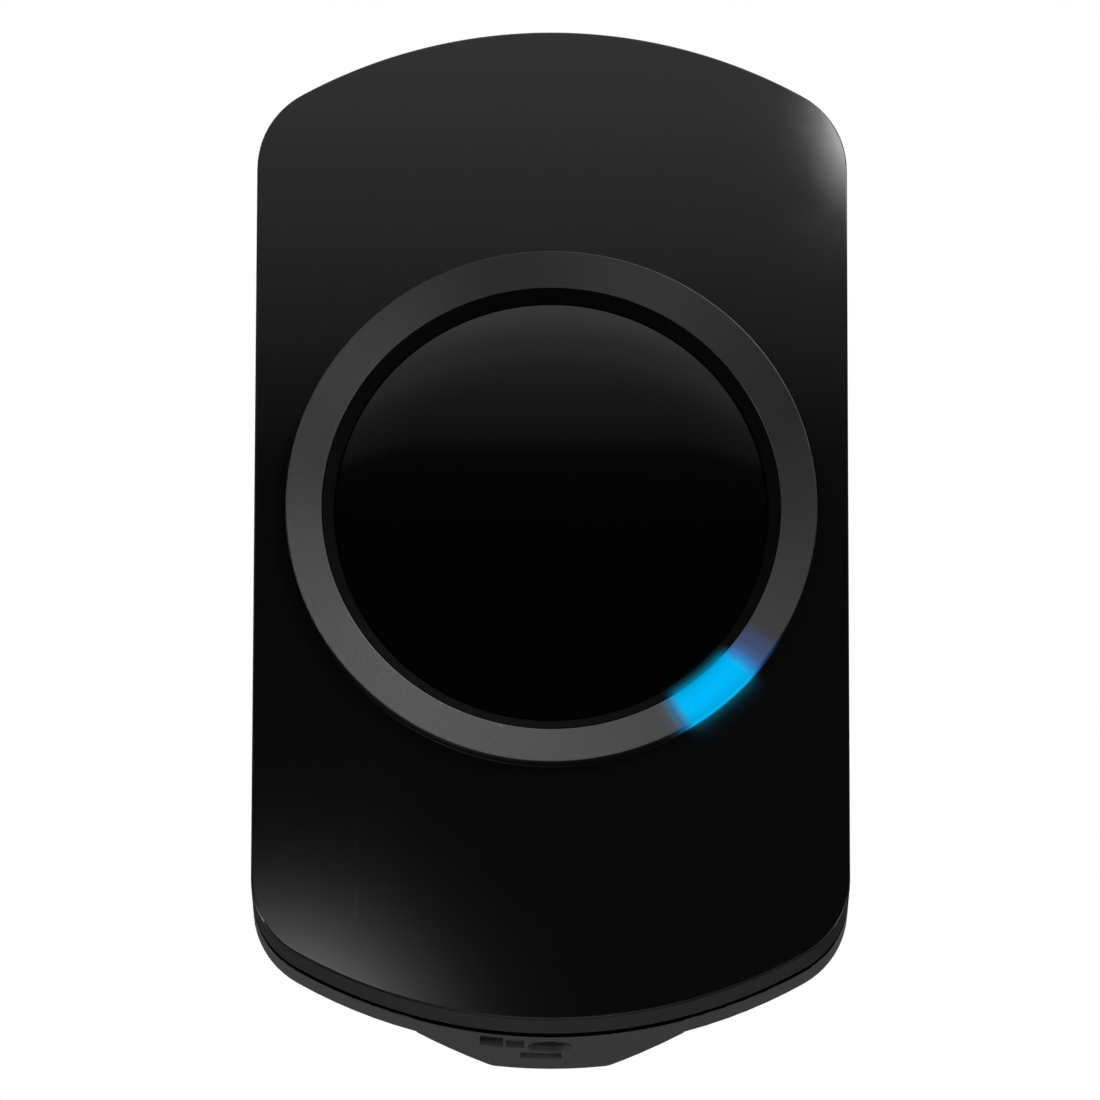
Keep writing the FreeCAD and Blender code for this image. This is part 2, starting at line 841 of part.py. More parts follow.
def upright_pin(radius, bottom, top, depth):
    """A round pin that stands along Z."""
    return Part.makeCylinder(radius, top - bottom, point(0, depth, bottom), FreeCAD.Vector(0, 0, 1))


def lock_seat():
    """The z at which the lock screw's head rests."""
    return -half_height + 2.0


def wall_bracket():
    half = bracket_width / 2
    strip_front = body_depth - bracket_thickness
    strip = rounded_block(-half, half, strip_front, body_depth, foot_bottom, bracket_top, 1.0)
    for z in (-wall_screw_spacing / 2, wall_screw_spacing / 2):
        strip = strip.cut(disc(wall_screw_hole, strip_front, body_depth, 0, z))
    toe = lock_depth - 2.4
    foot = block(-half, half, toe, body_depth, foot_bottom, foot_bottom + bracket_thickness)
    foot = foot.cut(upright_pin(lock_screw_radius + thread_gap, foot_bottom, foot_bottom + 2, lock_depth))
    return strip.fuse(foot).removeSplitter()


def lock_screw():
    seat = lock_seat()
    head = upright_pin(lock_hole - 0.15, seat - lock_head_height, seat, lock_depth)
    shank = upright_pin(lock_screw_radius, seat, foot_bottom + 2.4, lock_depth)
    low = seat - lock_head_height
    socket = Part.makePolygon([
        point(1.1 * math.cos(math.radians(a)), lock_depth + 1.1 * math.sin(math.radians(a)), low)
        for a in range(0, 361, 60)
    ])
    socket = Part.Face(socket).extrude(FreeCAD.Vector(0, 0, 0.9))
    return head.fuse(shank).cut(socket).removeSplitter()


PARTS = [
    faceplate,
    faceplate_tape,
    light_ring,
    light_baffle,
    ring_led_board,
    ring_leds,
    button_bezel,
    button_disc,
    button_carrier,
    button_membrane,
    switch_bodies,
    switch_plungers,
    camera_holder,
    camera_barrel,
    camera_lens,
    camera_shroud,
    image_sensor,
    infrared_leds,
    inner_chassis,
    ring_board_cable,
    main_board,
    board_screws,
    processor_shield,
    processor_chip,
    memory_chip,
    power_inductor,
    capacitors,
    wifi_antenna,
    speaker,
    speaker_cone,
    speaker_gasket,
    microphone,
    microphone_seal,
    sound_mesh,
    backup_battery,
    battery_pad,
    battery_connector,
    terminal_block,
    terminal_screws,
    mid_frame,
    housing_seal,
    rear_housing,
    case_screws,
    wall_bracket,
    lock_screw,
]

os.makedirs("parts", exist_ok=True)
for make in PARTS:
    make().exportStep("parts/" + make.__name__ + ".step")
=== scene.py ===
import json
import math

import bmesh
import bpy
from mathutils import Matrix, Vector


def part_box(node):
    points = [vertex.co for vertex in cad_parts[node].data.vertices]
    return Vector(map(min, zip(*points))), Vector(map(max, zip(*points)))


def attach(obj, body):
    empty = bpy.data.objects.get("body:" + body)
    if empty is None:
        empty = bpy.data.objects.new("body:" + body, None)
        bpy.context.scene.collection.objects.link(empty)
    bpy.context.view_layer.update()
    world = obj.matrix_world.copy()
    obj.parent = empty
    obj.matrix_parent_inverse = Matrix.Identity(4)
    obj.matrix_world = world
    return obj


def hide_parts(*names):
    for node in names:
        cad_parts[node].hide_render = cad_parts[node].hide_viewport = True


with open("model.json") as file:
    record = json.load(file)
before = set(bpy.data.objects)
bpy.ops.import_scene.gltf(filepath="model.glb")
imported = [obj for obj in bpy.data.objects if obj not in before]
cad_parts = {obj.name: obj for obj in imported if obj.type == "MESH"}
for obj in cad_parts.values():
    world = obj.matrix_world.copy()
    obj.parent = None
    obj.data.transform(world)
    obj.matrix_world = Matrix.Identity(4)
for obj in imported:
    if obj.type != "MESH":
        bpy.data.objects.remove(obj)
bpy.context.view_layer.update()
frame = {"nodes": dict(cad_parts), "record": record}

# A video doorbell: gloss black front plate, satin light ring, round push window,
# dark frame, grey rear shell with a narrow spine, steel wall strip.
# Shapes are drawn in millimetres and brought to metres when a piece is finished.
# Depths count backwards from the front plate's front surface.

MM = 0.001


def millimetres(corner):
    return Vector(corner) / MM


frame_low, frame_high = (millimetres(corner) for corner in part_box("mid_frame"))
plate_low, plate_high = (millimetres(corner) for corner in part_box("faceplate"))
lens_low, lens_high = (millimetres(corner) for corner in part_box("light_ring"))
funnel_low, funnel_high = (millimetres(corner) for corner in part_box("button_bezel"))
window_low, window_high = (millimetres(corner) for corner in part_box("button_disc"))

front_y = plate_low.y
half_width = frame_high.x
half_height = frame_high.z
end_arc = 53.0
corner_round = 9.2
fit_gap = 0.1

plate_inset = half_width - plate_high.x
plate_skirt = frame_low.y - front_y
plate_back = plate_high.y - front_y
plate_round = 0.12
spigot_inset = 1.6          # the plate's step, under its rim
narrow_band = 0.06          # flat, beside a rounded or cut edge

ring_z = (lens_low.z + lens_high.z) / 2
ring_band = 3.75
flange_width = 1.0
ring_flange = lens_high.x
ring_outer = ring_flange - flange_width
ring_inner = ring_outer - ring_band
ring_crest = lens_low.y - front_y
crest_inset = 0.2           # from the ring's outer side in to its crest
ring_slope = 0.25
ring_back = lens_high.y - front_y
shoulder_width = 0.6        # the step inside the ring that the funnel hooks under
shoulder_depth = 1.0

funnel_outer = ring_inner - fit_gap
funnel_step = ring_inner + shoulder_width - fit_gap
funnel_step_depth = shoulder_depth + 0.05
funnel_throat = ring_inner - 1.3
funnel_throat_depth = 1.2
funnel_skirt = ring_inner - 0.25
funnel_end = 4.6
funnel_lip = funnel_low.y - front_y
funnel_back = funnel_high.y - front_y

window_radius = window_high.x
window_front = window_low.y - front_y
window_back = window_high.y - front_y
window_flat = 15.0
window_edge = 0.1
window_fall = 5.6e-5        # how fast the front falls away, by the cube of the distance
FALL_STEPS = 14

ARC_STEPS = 40
CORNER_STEPS = 24
ROUND_STEPS = 288
TOUCHING = 1e-4             # points closer than this count as one


# Camera

camera_data = bpy.data.cameras.new("Camera")
camera_data.sensor_width = 36.0
camera_data.lens = 405.8
camera_data.clip_start = 0.01
camera_data.clip_end = 20.0
camera = bpy.data.objects.new("Camera", camera_data)
camera.location = (-0.000127, -1.2628, -0.361493)
camera_rise, camera_roll = 16.1, 0.125
pitch = Matrix.Rotation(math.radians(90 + camera_rise), 3, "X")
roll = Matrix.Rotation(math.radians(camera_roll), 3, "Z")
camera.rotation_euler = (pitch @ roll).to_euler()
bpy.context.collection.objects.link(camera)
bpy.context.scene.camera = camera
bpy.context.scene.view_settings.view_transform = "Standard"


# Drawing helpers

def spot(x, depth, z):
    return Vector((x, front_y + depth, z))


def new_parts(bm, old_verts):
    """The vertices added since old_verts was noted, and the edges between them."""
    verts = [vert for vert in bm.verts if vert not in old_verts]
    fresh = set(verts)
    edges = [edge for edge in bm.edges if edge.verts[0] in fresh and edge.verts[1] in fresh]
    return verts, edges


def outline_edges(bm, inset, depth):
    """The body's outline as a closed loop: a quarter of it is spun, then mirrored twice."""
    old_verts = set(bm.verts)
    arc = end_arc - inset
    corner = corner_round - inset
    arc_z = half_height - end_arc
    corner_x = half_width - corner_round
    corner_rise = math.sqrt((arc - corner) ** 2 - corner_x ** 2)
    corner_z = arc_z + corner_rise
    arc_turn = math.atan2(corner_x, corner_rise)

    top = bm.verts.new(spot(0, depth, arc_z + arc))
    swept = bmesh.ops.spin(
        bm, geom=[top], cent=spot(0, depth, arc_z), axis=(0, 1, 0),
        angle=arc_turn, steps=ARC_STEPS,
    )
    joint = [item for item in swept["geom_last"] if isinstance(item, bmesh.types.BMVert)]
    swept = bmesh.ops.spin(
        bm, geom=joint, cent=spot(corner_x, depth, corner_z), axis=(0, 1, 0),
        angle=math.pi / 2 - arc_turn, steps=CORNER_STEPS,
    )
    side = [item for item in swept["geom_last"] if isinstance(item, bmesh.types.BMVert)]
    lowered = bmesh.ops.extrude_vert_indiv(bm, verts=side)["verts"]
    bmesh.ops.translate(bm, vec=(0, 0, -corner_z), verts=lowered)

    for axis in ("Z", "X"):
        verts, edges = new_parts(bm, old_verts)
        bmesh.ops.mirror(bm, geom=verts + edges, merge_dist=TOUCHING, axis=axis)
    return new_parts(bm, old_verts)[1]


def pull(bm, face, distance, keep=False):
    """Extrudes one flat face along the depth and returns the moved face."""
    moved = bmesh.ops.extrude_face_region(bm, geom=[face])["geom"]
    if not keep:
        bmesh.ops.delete(bm, geom=[face], context="FACES_ONLY")
    verts = [item for item in moved if isinstance(item, bmesh.types.BMVert)]
    bmesh.ops.translate(bm, vec=(0, distance, 0), verts=verts)
    return [item for item in moved if isinstance(item, bmesh.types.BMFace)][0]


def flat_face(bm, depth):
    """The largest face that lies at a depth."""
    level = front_y + depth
    flat = [face for face in bm.faces if all(abs(vert.co.y - level) < TOUCHING for vert in face.verts)]
    return max(flat, key=lambda face: face.calc_area())


def round_rim(bm, face, size, segments=6):
    """Rounds the edges around a flat face."""
    bmesh.ops.bevel(
        bm, geom=list(face.edges), offset=size, offset_type="OFFSET",
        segments=segments, profile=0.5, affect="EDGES", material=-1,
    )


def step_in(bm, face, distance):
    """Leaves a flat band inside a face's border and returns the face inside it."""
    bmesh.ops.inset_region(bm, faces=[face], thickness=distance, use_even_offset=True)
    return face


def circle_edges(bm, radius, depth):
    old_verts = set(bm.verts)
    placed = Matrix.Translation(spot(0, depth, ring_z)) @ Matrix.Rotation(math.pi / 2, 4, "X")
    bmesh.ops.create_circle(bm, cap_ends=False, radius=radius, segments=ROUND_STEPS, matrix=placed)
    return new_parts(bm, old_verts)[1]


def bore(bm, front, back, radius):
    """Cuts the round hole through a plate, between two of its flat faces."""
    rims = []
    for face, facing in ((front, -1), (back, 1)):
        depth = face.verts[0].co.y - front_y
        border = list(face.edges)
        bmesh.ops.delete(bm, geom=[face], context="FACES_ONLY")
        near = circle_edges(bm, radius, depth)
        wide = circle_edges(bm, radius + narrow_band, depth)
        bmesh.ops.bridge_loops(bm, edges=near + wide)
        bmesh.ops.triangle_fill(
            bm, use_beauty=True, use_dissolve=False, edges=border + wide, normal=(0, facing, 0),
        )
        rims += near
    bmesh.ops.bridge_loops(bm, edges=rims)


def turned(bm, corners, closed=True):
    """Turns a profile of (radius, depth, rounding) corners around the ring's axis.
    Long edges get a short piece at each end, which keeps the shading flat between them."""
    verts = [bm.verts.new(spot(radius, depth, ring_z)) for radius, depth, rounding in corners]
    pairs = list(zip(verts, verts[1:] + verts[:1]))
    for first, second in pairs if closed else pairs[:-1]:
        bm.edges.new((first, second))
    for vert, (radius, depth, rounding) in zip(verts, corners):
        if rounding:
            bmesh.ops.bevel(
                bm, geom=[vert], offset=rounding, offset_type="OFFSET",
                segments=6, profile=0.5, affect="VERTICES", material=-1,
            )
    shortest, support = 0.4, 0.05
    for edge in list(bm.edges):
        if edge.calc_length() > shortest:
            share = support / edge.calc_length()
            start, end = edge.verts
            far_edge = bmesh.utils.edge_split(edge, start, share)[0]
            rest = far_edge if end in far_edge.verts else edge
            bmesh.utils.edge_split(rest, end, share / (1 - share))
    bmesh.ops.spin(
        bm, geom=list(bm.verts) + list(bm.edges), cent=spot(0, 0, ring_z), axis=(0, 1, 0),
        angle=2 * math.pi, steps=ROUND_STEPS, use_merge=True,
    )


def finish_piece(name, bm, body, node, material, sharp=35):
    """Closes the mesh, brings it to metres and puts it in the scene for its CAD node."""
    bmesh.ops.remove_doubles(bm, verts=bm.verts, dist=TOUCHING)
    bmesh.ops.recalc_face_normals(bm, faces=bm.faces)
    bmesh.ops.scale(bm, vec=(MM, MM, MM), verts=bm.verts)
    mesh = bpy.data.meshes.new(name)
    bm.to_mesh(mesh)
    bm.free()
    mesh.shade_smooth()
    mesh.set_sharp_from_angle(angle=math.radians(sharp))
    mesh.materials.append(material)
    piece = bpy.data.objects.new(name, mesh)
    bpy.context.collection.objects.link(piece)
    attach(piece, body)
    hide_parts(node)
    return piece


# Node helpers

def add(tree, kind, settings=None, **inputs):
    """Adds a node. Inputs are given by socket name, with _ for a space, or as in0, in1 ..."""
    node = tree.nodes.new(kind)
    for name, value in (settings or {}).items():
        setattr(node, name, value)
    for name, value in inputs.items():
        key = int(name[2:]) if name[:2] == "in" and name[2:].isdigit() else name.replace("_", " ")
        socket = node.inputs[key]
        if isinstance(value, bpy.types.NodeSocket):
            tree.links.new(value, socket)
        else:
            socket.default_value = value
    return node


def maths(tree, operation, first, second=0.0, third=0.0):
    made = add(tree, "ShaderNodeMath", {"operation": operation}, in0=first, in1=second, in2=third)
    return made.outputs[0]


def ranged(tree, value, low, high, to_low=0.0, to_high=1.0, smooth=False):
    kind = "SMOOTHSTEP" if smooth else "LINEAR"
    made = add(
        tree, "ShaderNodeMapRange", {"interpolation_type": kind, "clamp": True},
        Value=value, From_Min=low, From_Max=high, To_Min=to_low, To_Max=to_high,
    )
    return made.outputs["Result"]


def blended(tree, share, first, second, mode="MIX"):
    """Mixes two colours by a share from 0 to 1."""
    made = tree.nodes.new("ShaderNodeMix")
    made.data_type = "RGBA"
    made.blend_type = mode
    for index, value in ((0, share), (6, first), (7, second)):
        if isinstance(value, bpy.types.NodeSocket):
            tree.links.new(value, made.inputs[index])
        else:
            made.inputs[index].default_value = value
    return made.outputs[2]


def ramp(tree, share, stops):
    made = tree.nodes.new("ShaderNodeValToRGB")
    tree.links.new(share, made.inputs[0])
    elements = made.color_ramp.elements
    while len(elements) < len(stops):
        elements.new(0.5)
    for element, (place, colour) in zip(elements, stops):
        element.position = place
        element.color = (*colour, 1.0)
    return made.outputs["Color"]


def grey(value):
    return (value, value, value, 1.0)


def new_group(name, inputs, outputs):
    """A node group with named sockets, given as {name: default} and {name: kind}."""
    tree = bpy.data.node_groups.new(name, "ShaderNodeTree")
    for label, default in inputs.items():
        kind = "NodeSocketFloat"
        if label == "Vector":
            kind = "NodeSocketVector"
        elif isinstance(default, tuple):
            kind = "NodeSocketColor"
        socket = tree.interface.new_socket(label, in_out="INPUT", socket_type=kind)
        if label != "Vector":
            socket.default_value = default
    for label, kind in outputs.items():
        tree.interface.new_socket(label, in_out="OUTPUT", socket_type=kind)
    return tree, tree.nodes.new("NodeGroupInput").outputs, tree.nodes.new("NodeGroupOutput").inputs


def noise(tree, vector, scale, detail=4.0, roughness=0.55, distortion=0.0):
    made = add(
        tree, "ShaderNodeTexNoise", Vector=vector, Scale=scale, Detail=detail,
        Roughness=roughness, Distortion=distortion,
    )
    return made.outputs["Fac"]


def stretched(tree, vector, scale, turn=(0.0, 0.0, 0.0)):
    made = add(tree, "ShaderNodeMapping", Vector=vector, Rotation=turn, Scale=scale)
    return made.outputs["Vector"]


SURFACE_OUTPUTS = {
    "Colour": "NodeSocketColor",
    "Roughness": "NodeSocketFloat",
    "Height": "NodeSocketFloat",
}
SURFACE_INPUTS = {
    "Vector": None,
    "Scale": 2500.0,
    "Dark": grey(0.02),
    "Light": grey(0.03),
    "Low Roughness": 0.4,
    "High Roughness": 0.6,
}


TINNED = (0.55, 0.53, 0.5, 1.0)


def put_roughness(tree, given, out, share, low=0.0, high=1.0):
    """Sends a roughness between the group's two limits to its output."""
    rough = ranged(tree, share, low, high, given["Low Roughness"], given["High Roughness"])
    tree.links.new(rough, out["Roughness"])


def moulded_grain():
    """Spark-eroded plastic: a fine grain with pits, over slow patches of tone."""
    tree, given, out = new_group("Moulded Grain", SURFACE_INPUTS, SURFACE_OUTPUTS)
    fine = noise(tree, given["Vector"], given["Scale"], 3.0, 0.6)
    patches = noise(tree, given["Vector"], maths(tree, "MULTIPLY", given["Scale"], 0.03), 3.0, 0.5)
    pits = add(
        tree, "ShaderNodeTexVoronoi", {"feature": "F1"}, Vector=given["Vector"],
        Scale=maths(tree, "MULTIPLY", given["Scale"], 0.6),
    ).outputs["Distance"]
    pitted = ranged(tree, pits, 0.0, 0.45)
    share = maths(tree, "MULTIPLY_ADD", fine, 0.55, maths(tree, "MULTIPLY", patches, 0.45))
    spread = ranged(tree, share, 0.32, 0.68)
    tree.links.new(blended(tree, spread, given["Dark"], given["Light"]), out["Colour"])
    put_roughness(tree, given, out, spread)
    height = maths(tree, "MULTIPLY_ADD", fine, 0.6, maths(tree, "MULTIPLY", pitted, 0.4))
    tree.links.new(height, out["Height"])
    return tree


def brushed_grain():
    """Rolled or brushed metal: long fine lines along Z."""
    tree, given, out = new_group("Brushed Grain", SURFACE_INPUTS, SURFACE_OUTPUTS)
    lines = noise(tree, stretched(tree, given["Vector"], (1.0, 1.0, 0.03)), given["Scale"], 5.0, 0.65)
    patches = noise(tree, given["Vector"], maths(tree, "MULTIPLY", given["Scale"], 0.04), 3.0)
    share = maths(tree, "MULTIPLY_ADD", lines, 0.6, maths(tree, "MULTIPLY", patches, 0.4))
    spread = ranged(tree, share, 0.3, 0.7)
    tree.links.new(blended(tree, spread, given["Dark"], given["Light"]), out["Colour"])
    put_roughness(tree, given, out, spread)
    tree.links.new(lines, out["Height"])
    return tree


def printed_tracks():
    """A circuit board's solder mask, with tracks and tinned dots under it."""
    tree, given, out = new_group("Printed Tracks", SURFACE_INPUTS, SURFACE_OUTPUTS)
    tracks = add(
        tree, "ShaderNodeTexBrick", {"offset": 0.5}, Vector=stretched(
            tree, given["Vector"], (1.0, 1.0, 1.0), (math.pi / 2, 0.0, 0.0)),
        Scale=given["Scale"], Mortar_Size=0.06, Mortar_Smooth=0.2,
    ).outputs["Fac"]
    dots = add(
        tree, "ShaderNodeTexVoronoi", {"feature": "F1"}, Vector=given["Vector"],
        Scale=maths(tree, "MULTIPLY", given["Scale"], 1.4), Randomness=0.6,
    ).outputs["Distance"]
    tinned = ranged(tree, dots, 0.12, 0.18, 1.0, 0.0)
    mask = noise(tree, given["Vector"], maths(tree, "MULTIPLY", given["Scale"], 6.0), 2.0)
    lit = blended(tree, maths(tree, "MULTIPLY", tracks, 0.7), given["Dark"], given["Light"])
    tree.links.new(blended(tree, tinned, lit, TINNED), out["Colour"])
    put_roughness(tree, given, out, mask, 0.3, 0.7)
    tree.links.new(maths(tree, "MULTIPLY_ADD", tracks, 0.6, tinned), out["Height"])
    return tree


def open_cells():
    """Foam, felt and woven mesh: small cells with dark hollows."""
    tree, given, out = new_group("Open Cells", SURFACE_INPUTS, SURFACE_OUTPUTS)
    cells = add(
        tree, "ShaderNodeTexVoronoi", {"feature": "F1"}, Vector=given["Vector"], Scale=given["Scale"],
    ).outputs["Distance"]
    hollow = ranged(tree, cells, 0.1, 0.6)
    tree.links.new(blended(tree, hollow, given["Light"], given["Dark"]), out["Colour"])
    put_roughness(tree, given, out, hollow)
    tree.links.new(maths(tree, "SUBTRACT", 1.0, hollow), out["Height"])
    return tree


def handling_marks():
    """Hairline scratches, and the soft smudges that fingers leave."""
    tree, given, out = new_group(
        "Handling Marks",
        {"Vector": None, "Amount": 0.5},
        {"Scratches": "NodeSocketFloat", "Smudges": "NodeSocketFloat", "Dust": "NodeSocketFloat"},
    )
    scratches = None
    for turn, scale in ((0.5, 900.0), (-0.9, 1300.0), (1.4, 700.0)):
        turned_lines = stretched(tree, given["Vector"], (1.0, 0.2, 0.02), (0.0, turn, 0.0))
        lines = noise(tree, turned_lines, scale, 1.0, 0.4)
        broken = noise(tree, given["Vector"], scale * 0.12, 2.0)
        thin = maths(tree, "MULTIPLY", ranged(tree, lines, 0.735, 0.76), ranged(tree, broken, 0.5, 0.62))
        scratches = thin if scratches is None else maths(tree, "MAXIMUM", scratches, thin)
    tree.links.new(maths(tree, "MULTIPLY", scratches, given["Amount"]), out["Scratches"])
    smudges = ranged(tree, noise(tree, given["Vector"], 70.0, 5.0, 0.6, 0.6), 0.45, 0.75, smooth=True)
    tree.links.new(maths(tree, "MULTIPLY", smudges, given["Amount"]), out["Smudges"])
    specks = add(
        tree, "ShaderNodeTexVoronoi", {"feature": "F1"}, Vector=given["Vector"], Scale=420.0,
    )
    small = ranged(tree, specks.outputs["Distance"], 0.035, 0.06, 1.0, 0.0)
    chosen = ranged(tree, noise(tree, given["Vector"], 260.0, 1.0), 0.6, 0.63)
    tree.links.new(maths(tree, "MULTIPLY", small, chosen), out["Dust"])
    return tree


GROUPS = {
    "grain": moulded_grain(),
    "brushed": brushed_grain(),
    "tracks": printed_tracks(),
    "cells": open_cells(),
    "marks": handling_marks(),
}


def place_group(tree, name, **inputs):
    node = tree.nodes.new("ShaderNodeGroup")
    node.node_tree = GROUPS[name]
    for label, value in inputs.items():
        socket = node.inputs[label.replace("_", " ")]
        if isinstance(value, bpy.types.NodeSocket):
            tree.links.new(value, socket)
        else:
            socket.default_value = value
    return node.outputs


def new_material(name):
    material = bpy.data.materials.new(name)
    material.use_nodes = True
    tree = material.node_tree
    shader = tree.nodes["Principled BSDF"]
    where = tree.nodes.new("ShaderNodeTexCoord").outputs["Object"]
    return material, tree, shader, where


def bump(tree, shader, height, strength, distance):
    made = add(tree, "ShaderNodeBump", Height=height, Strength=strength, Distance=distance)
    tree.links.new(made.outputs["Normal"], shader.inputs["Normal"])


def tone(colour, factor):
    return (*(min(1.0, part * factor) for part in colour), 1.0)


ROUGH_SPREAD = 0.08         # how far a finish's roughness goes to each side


def finish(slot, colour, rough, pattern="grain", scale=2500.0, contrast=0.15, relief=0.3,
           distance=0.00003, **sockets):
    """A finish for one material slot. Sockets set the shader's own values."""
    material, tree, shader, where = new_material(slot)
    surface = place_group(
        tree, pattern, Vector=where, Scale=scale,
        Dark=tone(colour, 1 - contrast), Light=tone(colour, 1 + contrast),
        Low_Roughness=max(0.02, rough - ROUGH_SPREAD), High_Roughness=min(1.0, rough + ROUGH_SPREAD),
    )
    marks = place_group(tree, "marks", Vector=where, Amount=0.6)
    worn = blended(tree, maths(tree, "MULTIPLY", marks["Scratches"], 0.5), surface["Colour"],
                   tone(colour, 1.6))
    tree.links.new(worn, shader.inputs["Base Color"])
    roughness = maths(tree, "MULTIPLY_ADD", marks["Smudges"], 0.06, surface["Roughness"])
    tree.links.new(roughness, shader.inputs["Roughness"])
    bump(tree, shader, surface["Height"], relief, distance)
    for label, value in sockets.items():
        shader.inputs[label.replace("_", " ")].default_value = value
    return material


FINISHES = {
    "tape_black": finish("tape_black", (0.02, 0.02, 0.02), 0.7, scale=1500.0),
    "white_plastic": finish("white_plastic", (0.8, 0.8, 0.77), 0.5, contrast=0.04),
    "board_green": finish("board_green", (0.012, 0.09, 0.035), 0.35, "tracks", 420.0, 0.35, 0.4),
    "led_white": finish("led_white", (0.85, 0.8, 0.5), 0.3, contrast=0.06),
    "inner_black": finish("inner_black", (0.02, 0.02, 0.021), 0.55),
    "silicone": finish("silicone", (0.35, 0.35, 0.36), 0.65, scale=1800.0, contrast=0.06),
    "switch_black": finish("switch_black", (0.015, 0.015, 0.015), 0.4),
    "lens_glass": finish("lens_glass", (0.05, 0.05, 0.09), 0.1, contrast=0.2, relief=0.02,
                         Coat_Weight=0.6, Coat_Roughness=0.03),
    "black_rubber": finish("black_rubber", (0.014, 0.014, 0.014), 0.75, scale=1400.0),
    "chip_black": finish("chip_black", (0.022, 0.022, 0.024), 0.5, scale=3200.0),
    "led_clear": finish("led_clear", (0.2, 0.17, 0.2), 0.12, contrast=0.1, relief=0.05,
                        Coat_Weight=0.5, Coat_Roughness=0.05),
    "cable_amber": finish("cable_amber", (0.42, 0.19, 0.03), 0.3, "tracks", 900.0, 0.2),
    "screw_steel": finish("screw_steel", (0.55, 0.55, 0.56), 0.32, "brushed", 1800.0, 0.12, 0.25,
                          Metallic=1.0),
    "shield_steel": finish("shield_steel", (0.6, 0.6, 0.6), 0.36, "brushed", 1500.0, 0.1, 0.2,
                           Metallic=1.0),
    "capacitor_aluminium": finish("capacitor_aluminium", (0.7, 0.7, 0.71), 0.3, "brushed", 2000.0,
                                  0.1, 0.2, Metallic=1.0),
    "speaker_steel": finish("speaker_steel", (0.05, 0.05, 0.052), 0.45),
    "cone_paper": finish("cone_paper", (0.03, 0.03, 0.03), 0.8, "cells", 3000.0),
    "black_foam": finish("black_foam", (0.02, 0.02, 0.02), 0.85, "cells", 2600.0, 0.5, 0.6, 0.0001),
    "mesh_black": finish("mesh_black", (0.01, 0.01, 0.01), 0.7, "cells", 4200.0, 0.6, 0.6, 0.0001),
    "battery_foil": finish("battery_foil", (0.6, 0.6, 0.62), 0.38, "brushed", 500.0, 0.1, 0.3,
                           0.0001, Metallic=1.0),
    "terminal_green": finish("terminal_green", (0.02, 0.2, 0.06), 0.45),
    "seal_black": finish("seal_black", (0.0008, 0.0008, 0.0008), 0.9, scale=1600.0,
                         Specular_IOR_Level=0.05),
    "bracket_steel": finish("bracket_steel", (0.5, 0.5, 0.5), 0.34, "brushed", 1100.0, 0.14, 0.3,
                            Metallic=1.0),
    "black_screw": finish("black_screw", (0.015, 0.015, 0.015), 0.4),
    "frame_black": finish("frame_black", (0.0165, 0.0165, 0.017), 0.5, scale=3600.0, contrast=0.12,
                          relief=0.35),
    "housing_grey": finish("housing_grey", (0.107, 0.107, 0.109), 0.62, scale=2400.0, contrast=0.14,
                           relief=0.5, distance=0.00004),
    "bezel_black": finish("bezel_black", (0.005, 0.005, 0.0052), 0.8, scale=3000.0, contrast=0.2,
                          Specular_IOR_Level=0.02),
}


# Light segment: angles in degrees, counted from +X towards +Z, around the ring's centre.

def ring_place(tree, where):
    """The radius in millimetres and the angle in degrees, around the ring's axis."""
    parts = add(tree, "ShaderNodeSeparateXYZ", Vector=where).outputs
    across = parts["X"]
    up = maths(tree, "SUBTRACT", parts["Z"], ring_z * MM)
    up_squared = maths(tree, "MULTIPLY", up, up)
    radius = maths(tree, "SQRT", maths(tree, "MULTIPLY_ADD", across, across, up_squared))
    turn = maths(tree, "ARCTAN2", up, across)
    degrees = maths(tree, "MULTIPLY", turn, 180 / math.pi)
    below = maths(tree, "LESS_THAN", degrees, 0.0)
    positive = maths(tree, "ADD", degrees, maths(tree, "MULTIPLY", below, 360.0))
    return maths(tree, "DIVIDE", radius, MM), positive


LAMP_FROM, LAMP_TO = 294.0, 332.0
LIT_RISE, LIT_FALL = (298.5, 302.6), (318.0, 322.5)
SPILL_RISE, SPILL_FALL = (299.5, 304.5), (316.5, 321.5)
SPILL_BLUE = (0.0, 0.51, 0.87, 1.0)

# The lamp's colour by angle, then its strength by radius, and its spill on the neighbours
LAMP_STOPS = [
    (296.0, (0.0, 0.0, 0.0)),
    (298.0, (0.006, 0.014, 0.027)),
    (300.0, (0.003, 0.099, 0.238)),
    (302.6, (0.0, 0.485, 0.956)),
    (318.2, (0.0, 0.485, 0.956)),
    (320.0, (0.0, 0.221, 0.589)),
    (322.0, (0.002, 0.066, 0.257)),
    (324.0, (0.0, 0.026, 0.112)),
    (326.0, (0.0, 0.02, 0.1)),
    (328.0, (0.0, 0.002, 0.025)),
    (330.0, (0.0, 0.0, 0.0)),
]
LAMP_ACROSS = [(24.0, 0.72), (24.6, 0.9), (25.6, 1.0), (26.6, 0.97), (27.5, 0.82)]
PLATE_SPILL = [(27.7, 0.20), (28.15, 0.085), (28.6, 0.025), (29.0, 0.008), (29.6, 0.003), (30.4, 0.0)]
FUNNEL_SPILL = [(22.4, 0.0), (22.7, 0.02), (23.1, 0.06), (23.5, 0.2), (23.8, 0.32), (24.0, 0.5)]


def lamp_share(angle):
    return (angle - LAMP_FROM) / (LAMP_TO - LAMP_FROM)


def by_radius(tree, radius, stops):
    """A strength that changes with the radius, from (radius, strength) stops."""
    low, high = stops[0][0], stops[-1][0]
    shares = [((place - low) / (high - low), (value,) * 3) for place, value in stops]
    return ramp(tree, ranged(tree, radius, low, high), shares)


